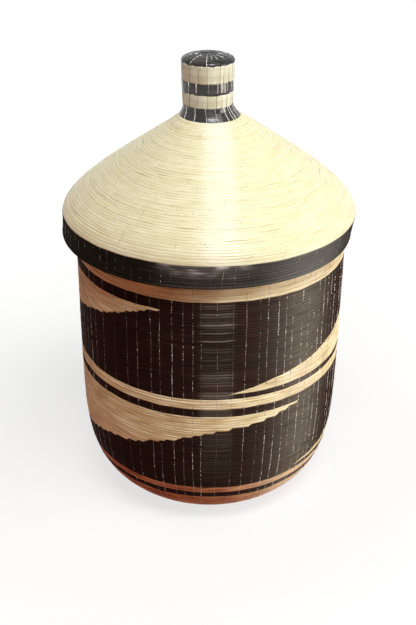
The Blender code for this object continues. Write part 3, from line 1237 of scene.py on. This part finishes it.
def bound_coil(
    node: str,
    body: str,
    straw: StrawFinish,
    centre: Point,
    half: Point,
    lean: Curve = true_axis,
    rise: float = 0.0,
    wear: Curve = np.zeros_like,
) -> None:
    """Builds a coil that is wrapped with straw, wrap beside wrap.

    Its section is the curve |x|^3 + |y|^3 = 1, scaled to its half width and half height. Each wrap
    is 3 mm wide and sinks by 0.2 mm at its sides as the fourth power of a cosine, and slants by one
    wrap over the coil's height.

    Args:
        node: the solid that it stands for.
        body: the body that it rides on.
        straw: what it is wrapped with.
        centre: radius and height of its middle.
        half: half its width and half its height.
        lean: sideways shift at each height over the body's or the lid's own zero.
        rise: height of that zero.
        wear: how much painted sheen it has at each azimuth.
    """
    wraps = round(math.tau * centre[0] / STEP)
    azimuth = np.linspace(-math.pi, math.pi, wraps * 4 + 1)[:-1][:, None]
    turn = np.radians(np.arange(-90.0, 270.0, 30.0))
    out = np.sign(np.cos(turn)) * np.abs(np.cos(turn)) ** (2 / 3)
    up = np.sign(np.sin(turn)) * np.abs(np.sin(turn)) ** (2 / 3)
    phase = wraps * azimuth / 2 + math.pi / 2 * up
    sunk = 0.2 * MM * np.cos(phase) ** 4
    radius = centre[0] + (half[0] - sunk) * out
    height = centre[1] + (half[1] - sunk) * up
    x = radius * np.sin(azimuth) + lean(height)
    grid = np.stack([x, -radius * np.cos(azimuth), height + rise], axis=-1)
    # The wraps run across the coil, so the pattern is stretched up and down.
    wrapped = up * half[1] * 0.4 + 0 * azimuth
    lay = np.stack([wrapped, 0 * wrapped, azimuth * centre[0] + 0 * wrapped], axis=-1)
    tone = Wander(73, (20, 200), 1.0, 1.0).at(1, azimuth[:, 0])[:, None]
    tubes = Tubes()
    tubes.add(grid, lay, True, tone=tone, joint=np.cos(phase) ** 8, wear=wear(azimuth))
    tubes.make(f"{node}_binding", body, straw.material(), node)


@dataclass
class Lid:
    """The loose lid: a skirt round the mouth, a hollow-sided cone and a banded knob.

    Heights are over the cone's edge.

    Attributes:
        mouth_radius: outer radius of the basket's mouth.
        edge_height: height of the cone's edge over the floor.
        row: a course's height along the skirt and the cone.
        wall: the lid's thickness.
        seam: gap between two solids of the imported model, half of it on each one's side.
        play: gap between the basket's mouth and the skirt, all round when the lid stands centred.
        rim_swell: how far the skirt's bound edge, and the basket's rim in it, stand out from the wall.
        skirt_depth: the skirt's height.
        skirt_taper: how much smaller the skirt's radius is at its lower edge.
        skirt_lean_height: how far over the skirt's lower edge its lean starts, on the cone.
        skirt_touch: gap to the basket's rim that the lean leaves on the nearer side.
        rim_height: height of the bound edge with its gap.
        shoulder: how far in and up from the edge the cone's second control point lies.
        hollow: how far out and down from the neck the third one lies.
        neck_radius: radius of the cone's top.
        neck_height: height of the cone's top.
        knob_shift: how far towards +X the knob is sewn on.
        knob_shift_below: how far below the neck that shift starts.
        knob_foot_radius: the knob's radius over the collar.
        knob_top_radius: its radius under the crown.
        collar_height: the collar's height.
        bands: heights of the three bands, from below.
        crown_side: height of the crown's straight side.
        crown_rise: height of its dome.
        knob_seen: stitch columns of the collar, the three bands and the crown that show at the
            front, in degrees.
    """

    mouth_radius: float
    edge_height: float
    row: float = 2.4 * MM
    wall: float = 3.2 * MM
    seam: float = 0.3 * MM
    play: float = 4.5 * MM
    rim_swell: float = 0.4 * MM
    skirt_depth: float = 20.3 * MM
    skirt_taper: float = 1.2 * MM
    skirt_lean_height: float = 60 * MM
    skirt_touch: float = 0.4 * MM
    rim_height: float = 3.5 * MM
    shoulder: tuple[float, float] = (4.7 * MM, 17.5 * MM)
    hollow: tuple[float, float] = (42.5 * MM, 29.5 * MM)
    neck_radius: float = 25 * MM
    neck_height: float = 77.8 * MM
    knob_shift: float = -3.4 * MM
    knob_shift_below: float = 8 * MM
    knob_foot_radius: float = 20.4 * MM
    knob_top_radius: float = 21.5 * MM
    collar_height: float = 9.5 * MM
    bands: tuple[float, float, float] = (10.7 * MM, 9.2 * MM, 13.7 * MM)
    crown_side: float = 1.0 * MM
    crown_rise: float = 5.2 * MM
    knob_seen: tuple[tuple[float, ...], ...] = (
        (-78, -55, -30, -6, 16, 38, 50, 58, 72),
        (-70, -44, -22, -1, 20, 33, 47, 63, 78),
        (-72, -46.6, -25.9, 0.9, 22.2, 31.6, 40, 47.9, 61.8, 74),
        (-68, -42, -20.4, -1.1, 18.3, 27.2, 35.7, 51.4, 64.3, 78.6),
        (-40, -3, 12, 27, 50),
    )

    def __post_init__(self) -> None:
        """Works out the cone's outline and its stitch columns.

        The outline is the cubic curve with four control points, the mean of them weighted with
        (1 - t)^3, 3 t (1 - t)^2, 3 t^2 (1 - t) and t^3.
        """
        self.edge_radius = self.mouth_radius + self.play + self.wall + self.skirt_taper
        t = np.linspace(0.0, 1.0, 1500)
        weights = np.array([(1 - t) ** 3, 3 * t * (1 - t) ** 2, 3 * t**2 * (1 - t), t**3])
        edge, neck = self.edge_radius, self.neck_radius
        radii = (edge, edge - self.shoulder[0], neck + self.hollow[0], neck)
        heights = (0.0, self.shoulder[1], self.neck_height - self.hollow[1], self.neck_height)
        self.cone = Outline(np.array(radii) @ weights, np.array(heights) @ weights)
        self.columns = Columns(spread_columns((-8.0, -3.6, 1.2, 5.4, 9.8), 4.2, 15), 16)
        # Painted shade on the stitches: the columns on the side away from the light are drawn thinner and
        # darker.
        self.columns.strength *= 1 - bell(self.columns.azimuths, 0.6, -0.8, 0.6)

    def lean(self, height: Array) -> Array:
        """Sideways shift towards +X: the skirt leans out below, the knob is sewn on off centre.

        The skirt's shift grows downwards as a square, and the knob's evenly up to the collar's top.

        Args:
            height: heights over the cone's edge.

        Returns:
            The shift at each height.
        """
        left_over = np.maximum(0.0, 1 - (height + self.skirt_depth) / self.skirt_lean_height)
        above_start = height - self.neck_height + self.knob_shift_below
        shifted = np.clip(above_start / (self.collar_height + self.knob_shift_below), 0.0, 1.0)
        skirt = (self.play - self.rim_swell - self.skirt_touch) * left_over**2
        return self.knob_shift * shifted - skirt

    def coil(self, outline: Outline, seed: int, groove: float, uneven: float = 1.0) -> Coil:
        """A coil of the lid along this outline."""
        return Coil(outline, "lid", self.wall, seed, self.lean, self.edge_height, groove, uneven)

    def build(self) -> None:
        """Builds the skirt, the cone, the knob and their stitches."""
        self.build_skirt()
        self.build_cone()
        self.build_knob()

    def build_skirt(self) -> None:
        """Builds the skirt's courses and the bound coil along its lower edge."""
        low = -self.skirt_depth
        seam = low + self.rim_height
        taper = self.skirt_taper / self.skirt_depth
        heights = np.array([seam, 0.0])
        outline = Outline(self.edge_radius + taper * heights, heights)
        rows = round(-seam / self.row)
        coil = self.coil(outline, 61, 0.28 * MM)
        # Breaks in the painted glare along the skirt's top courses.
        glare_breaks = Wander(67, (8, 60), 0.5, 2.0)

        def painted_lid_sheen(azimuth: Array) -> Array:
            """Painted sheen on the whole skirt: a little at the front, and more on the lit side."""
            return bell(azimuth, 0.05, -0.03, 0.28, 4) + bell(azimuth, 0.2, 0.7, 0.35)

        def painted_light_share(number: int, along: Array, azimuth: Array) -> Array:
            """The same painted sheen, and short streaks of painted glare at the front.

            They come in from 30% of the skirt's height to 90%, and add painted glare of 12 to 77%.

            Args:
                number: the course's number.
                along: lengths up the skirt, shaped (stations, section points).
                azimuth: the stations' azimuths, shaped (stations, 1).

            Returns:
                How much painted light the straw has, shaped as the lengths are.
            """
            up = np.clip((along / outline.length - 0.3) / 0.6, 0.0, 1.0)
            streaks = np.clip(0.15 + glare_breaks.at(number, azimuth[:, 0])[:, None], 0.0, 1.0)
            return painted_lid_sheen(azimuth) + bell(azimuth, 1.0, -0.03, 0.25, 4) * up * (0.12 + 0.65 * streaks)

        coil.wear = painted_light_share
        courses = stack(0, 0.0, rows, outline.length / rows)
        coil.piece("lid_skirt", GLARE_PAINTED_STRAW, courses)
        work = Needlework(width=0.32 * MM, proud=0.1 * MM, shown=0.5, clean=0.36, spread=0.14)
        self.columns.sew("lid_skirt_stitches", coil, courses, work)
        middle = low + self.rim_height / 2
        centre = (self.edge_radius + taper * middle - self.wall / 2 + self.rim_swell / 2, middle)
        half = ((self.wall + self.rim_swell) / 2, (self.rim_height - self.seam) / 2)
        place = centre, half, self.lean, self.edge_height
        # The skirt's bound edge gets the same painted sheen.
        bound_coil("lid_rim", coil.body, GLARE_PAINTED_STRAW, *place, painted_lid_sheen)

    def build_cone(self) -> None:
        """Builds the cone's courses, with fewer stitch columns as it narrows."""
        coil = self.coil(self.cone, 81, 0.15 * MM, 0.8)

        def painted_highlight_band(number: int, along: Array, azimuth: Array) -> Array:
            """A painted highlight: a soft band down the front, palest and narrowest at the neck.

            It is 22 mm wide at the neck and 32 mm at the edge, and its middle lies 4 to 8 mm to the
            right of the axis.

            Args:
                number: the course's number, which makes no difference.
                along: lengths up the cone, shaped (stations, section points).
                azimuth: the stations' azimuths, shaped (stations, 1).

            Returns:
                How much painted highlight the straw has, shaped as the lengths are.
            """
            share = along / self.cone.length
            sideways = self.cone.place(along, 0.0 * along)[0] * np.sin(azimuth)
            band = bell(sideways / MM, 1.0, 8 - 4 * share, 16 - 5 * share, 4)
            return (0.3 + 0.2 * share) * band * np.clip(3 * np.cos(azimuth), 0.0, 1.0)

        coil.wear = painted_highlight_band
        rows = round(self.cone.length / self.row)
        courses = stack(0, 0.0, rows, self.cone.length / rows)
        coil.piece("lid_cone", BLEACHED_STRAW, courses)
        order = np.arange(len(self.columns.azimuths))

        def keep(middle: float) -> Array:
            """Every column below, every second from 42% of the way up, and every fourth from 74%.

            Args:
                middle: length along the outline to a course's middle.

            Returns:
                True for each column that the course has.
            """
            share = middle / self.cone.length
            skip = 1 if share < 0.42 else 2 if share < 0.74 else 4
            return order % skip == 0

        work = Needlework(width=0.36 * MM, proud=0.09 * MM, shown=0.3, clean=0.84, spread=0.13)
        self.columns.sew("lid_cone_stitches", coil, courses, work, keep)

    def knob_outlines(self) -> list[Outline]:
        """Outlines of the collar, the three bands and the crown, from below.

        The collar's flare shrinks as one minus a sine, the bands widen evenly, and the crown is a
        quarter of an ellipse over a short straight side.

        Returns:
            The five outlines.
        """
        turn = np.linspace(0.0, math.pi / 2, 60)
        flare = (self.neck_radius - self.knob_foot_radius) * (1 - np.sin(turn))
        heights = self.neck_height + self.collar_height * turn / turn[-1]
        outlines = [Outline(self.knob_foot_radius + flare, heights)]
        foot = self.neck_height + self.collar_height
        shoulder = foot + sum(self.bands)
        grow = (self.knob_top_radius - self.knob_foot_radius) / (shoulder - foot)
        low = foot
        for tall in self.bands:
            ends = np.array([low, low + tall])
            outlines.append(Outline(self.knob_foot_radius + grow * (ends - foot), ends))
            low += tall
        radii = np.concatenate([[self.knob_top_radius], self.knob_top_radius * np.cos(turn)])
        rise = shoulder + self.crown_side + self.crown_rise * np.sin(turn)
        return outlines + [Outline(radii, np.concatenate([[shoulder], rise]))]

    def build_knob(self) -> None:
        """Builds the collar, the three bands and the crown from broad strips, sewn in columns."""
        on_dark = Needlework(width=0.42 * MM, reach=1.1, shown=0.97, clean=0.98, spread=0.05)
        on_pale = Needlework(width=0.3 * MM, proud=0.14 * MM, reach=1.15, shown=0.95, clean=0.3, spread=0.1)
        on_crown = Needlework(width=0.36 * MM, reach=1.1, shown=0.8, clean=0.95, spread=0.08)
        # Each part's solid, straw, stitches, their pitch in degrees, courses, groove and unevenness.
        parts = (
            ("knob_collar", POLISHED_STRAW, on_dark, 19, 3, 0.08 * MM, 0.6),
            ("knob_band_lower", KNOB_STRAW, on_pale, 19, 1, 0.2 * MM, 0.5),
            ("knob_band_middle", POLISHED_STRAW, on_dark, 19, 1, 0.2 * MM, 0.6),
            ("knob_band_upper", KNOB_STRAW, on_pale, 19, 1, 0.2 * MM, 0.5),
            ("knob_crown", CROWN_STRAW, on_crown, 40, 6, 0.35 * MM, 1.3),
        )
        for number, (part, outline, seen) in enumerate(zip(parts, self.knob_outlines(), self.knob_seen)):
            node, straw, work, pitch, rows, groove, uneven = part
            seed = 101 + 7 * number
            coil = self.coil(outline, seed, groove, uneven)
            columns = Columns(spread_columns(seen, pitch, seed), seed + 1, 0.05 * MM)
            coil.shade = Panels(columns.azimuths, seed + 2)
            courses = stack(0, 0.0, rows, outline.length / rows)
            coil.piece(node, straw, courses)
            keep = partial(self.over_edge, outline, columns) if node == "knob_crown" else None
            columns.sew(f"{node}_stitches", coil, courses[:-2] if keep else courses, work, keep)

    @staticmethod
    def over_edge(outline: Outline, columns: Columns, middle: float) -> Array:
        """The crown's first two columns run over its edge, the others start a third of the way up."""
        return (np.arange(len(columns.azimuths)) < 2) | (middle / outline.length > 0.35)


# The studio


@dataclass
class Studio:
    """A pale floor, soft lamps and the camera where the photograph was taken from.

    Attributes:
        eye: the camera's place.
        tilt: how far it looks down, in degrees.
        roll: how far it is turned about its own axis, in degrees.
        focal: its focal length in pixels of the photograph.
        long_side: the photograph's long side in pixels.
        aim: what the lamps face.
        floor_size: half the floor's side.
        floor_drop: how far the floor lies below the basket, so that the two don't flicker.
    """

    eye: Triple = (-1.7 * MM, -752.6 * MM, 570.7 * MM)
    tilt: float = 28.75
    roll: float = 0.5
    focal: float = 948.1
    long_side: int = 625
    aim: Triple = (0.0, 0.0, 0.2)
    floor_size: float = 9.0
    floor_drop: float = 0.2 * MM

    def build(self) -> None:
        """Sets the view, the world, the floor, the lamps and the camera."""
        scene = bpy.context.scene
        scene.view_settings.view_transform = "Standard"
        self.build_world(scene)
        self.build_floor()
        # Each lamp's place, width and height, watts and colour.
        self.add_lamp("window_right", (1.25, -0.42, 0.42), (0.5, 0.9), 12.6, "#fffaf4")
        self.add_lamp("key_front", (0.25, -0.8, 1.75), (0.8, 0.5), 22.0, "#ffffff")
        self.add_lamp("key_right", (0.8, -0.6, 1.6), (0.4, 0.6), 4.0, "#ffffff")
        self.add_lamp("soft_overhead", (-0.5, 0.15, 1.7), (0.9, 0.9), 4.2, "#fffdf6")
        fill = self.add_lamp("fill_left", (-1.3, -0.8, 0.15), (0.9, 0.5), 2.7, "#ff7848")
        # The warm card at the left lights the straw but isn't mirrored in it.
        fill.visible_glossy = False
        self.build_camera(scene)

    def build_world(self, scene: bpy.types.Scene) -> None:
        """Makes a soft neutral surround that the camera sees as white.

        Args:
            scene: the scene.
        """
        world = bpy.data.worlds.new("studio_surround")
        scene.world = world
        world.use_nodes = True
        tree = world.node_tree
        tree.nodes.clear()
        soft = add_node(tree, "ShaderNodeBackground", {"=Color": from_hex("#fbfaf8"), "=Strength": 0.04})
        white = add_node(tree, "ShaderNodeBackground", {"=Color": from_hex("#ffffff"), "=Strength": 1.0})
        shown = {0: self.seen_directly(tree), 1: soft.outputs[0], 2: white.outputs[0]}
        seen = add_node(tree, "ShaderNodeMixShader", links=shown)
        add_node(tree, "ShaderNodeOutputWorld", {}, {"Surface": seen.outputs[0]})

    @staticmethod
    def seen_directly(tree: bpy.types.NodeTree) -> bpy.types.NodeSocket:
        """Adds nodes that give 1 to what the camera sees, also in a gloss or through glass, and 0 to light.

        Args:
            tree: the node tree.

        Returns:
            The socket that holds it.
        """
        path = add_node(tree, "ShaderNodeLightPath")
        seen = path.outputs["Is Camera Ray"]
        for ray in ("Is Glossy Ray", "Is Transmission Ray"):
            links = {0: seen, 1: path.outputs[ray]}
            seen = add_node(tree, "ShaderNodeMath", {"operation": "MAXIMUM"}, links).outputs[0]
        return seen

    def build_floor(self) -> None:
        """Lays a plain pale floor that the camera sees as white paper with the basket's shadow."""
        mesh = bpy.data.meshes.new("floor")
        far = self.floor_size
        corners = [(-far, -far, 0.0), (far, -far, 0.0), (far, far, 0.0), (-far, far, 0.0)]
        mesh.from_pydata(corners, [], [(0, 1, 2, 3)])
        floor = bpy.data.objects.new("floor", mesh)
        floor.location.z = -self.floor_drop
        bpy.context.scene.collection.objects.link(floor)
        paper = bpy.data.materials.new("white_paper_floor")
        paper.use_nodes = True
        tree = paper.node_tree
        tree.nodes.clear()
        # What the floor sends up on the basket is warm, and what the camera sees is white paper.
        matt = add_node(tree, "ShaderNodeBsdfDiffuse", {"=Color": from_hex("#9a6650")})
        shaded = add_node(tree, "ShaderNodeBsdfDiffuse", {"=Color": from_hex("#8c8c8c")})
        # The paper's own white grows from the basket outwards, where the lamps reach it less.
        place = add_node(tree, "ShaderNodeTexCoord").outputs["Object"]
        distance = add_node(tree, "ShaderNodeVectorMath", {"operation": "LENGTH"}, {0: place})
        limits = {"=From Min": 0.2, "=From Max": 0.9, "=To Min": 0.72, "=To Max": 1.0}
        white = add_node(tree, "ShaderNodeMapRange", limits, {"Value": distance.outputs["Value"]})
        glow = add_node(tree, "ShaderNodeEmission", links={"Strength": white.outputs["Result"]})
        seen = add_node(tree, "ShaderNodeAddShader", links={0: shaded.outputs[0], 1: glow.outputs[0]})
        shown = {0: self.seen_directly(tree), 1: matt.outputs[0], 2: seen.outputs[0]}
        mixed = add_node(tree, "ShaderNodeMixShader", links=shown)
        add_node(tree, "ShaderNodeOutputMaterial", {}, {"Surface": mixed.outputs[0]})
        mesh.materials.append(paper)

    def add_lamp(
        self, name: str, place: Triple, size: Point, watts: float, colour: str
    ) -> bpy.types.Object:
        """Adds a soft rectangular lamp that faces the basket's middle.

        Args:
            name: the lamp's name.
            place: its place.
            size: its width and height.
            watts: its power.
            colour: its sRGB colour.

        Returns:
            The lamp.
        """
        light = bpy.data.lights.new(name, "AREA")
        light.shape = "RECTANGLE"
        light.size, light.size_y = size
        light.energy = watts
        light.color = from_hex(colour)[:3]
        lamp = bpy.data.objects.new(name, light)
        lamp.location = place
        away = Vector(place) - Vector(self.aim)
        lamp.rotation_euler = away.to_track_quat("Z", "Y").to_euler()
        bpy.context.scene.collection.objects.link(lamp)
        return lamp

    def build_camera(self, scene: bpy.types.Scene) -> None:
        """Makes the camera from the fitted eye, tilt, roll and focal length.

        Args:
            scene: the scene.
        """
        data = bpy.data.cameras.new("camera")
        data.lens = self.focal * data.sensor_width / self.long_side
        data.clip_start, data.clip_end = 0.05, 30.0
        camera = bpy.data.objects.new("camera", data)
        turn = Matrix.Rotation(math.radians(90 - self.tilt), 4, "X")
        turn @= Matrix.Rotation(math.radians(self.roll), 4, "Z")
        camera.matrix_world = Matrix.Translation(self.eye) @ turn
        scene.collection.objects.link(camera)
        scene.camera = camera


def main() -> None:
    """Builds the basket, the lid and the studio."""
    logging.basicConfig(level=logging.INFO, format="%(name)s: %(message)s")
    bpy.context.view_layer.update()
    body = Body()
    body.build()
    lid = Lid(mouth_radius=body.mouth_radius, edge_height=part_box("lid_cone")[0].z)
    lid.build()
    Studio().build()


if __name__ == "__main__":
    main()
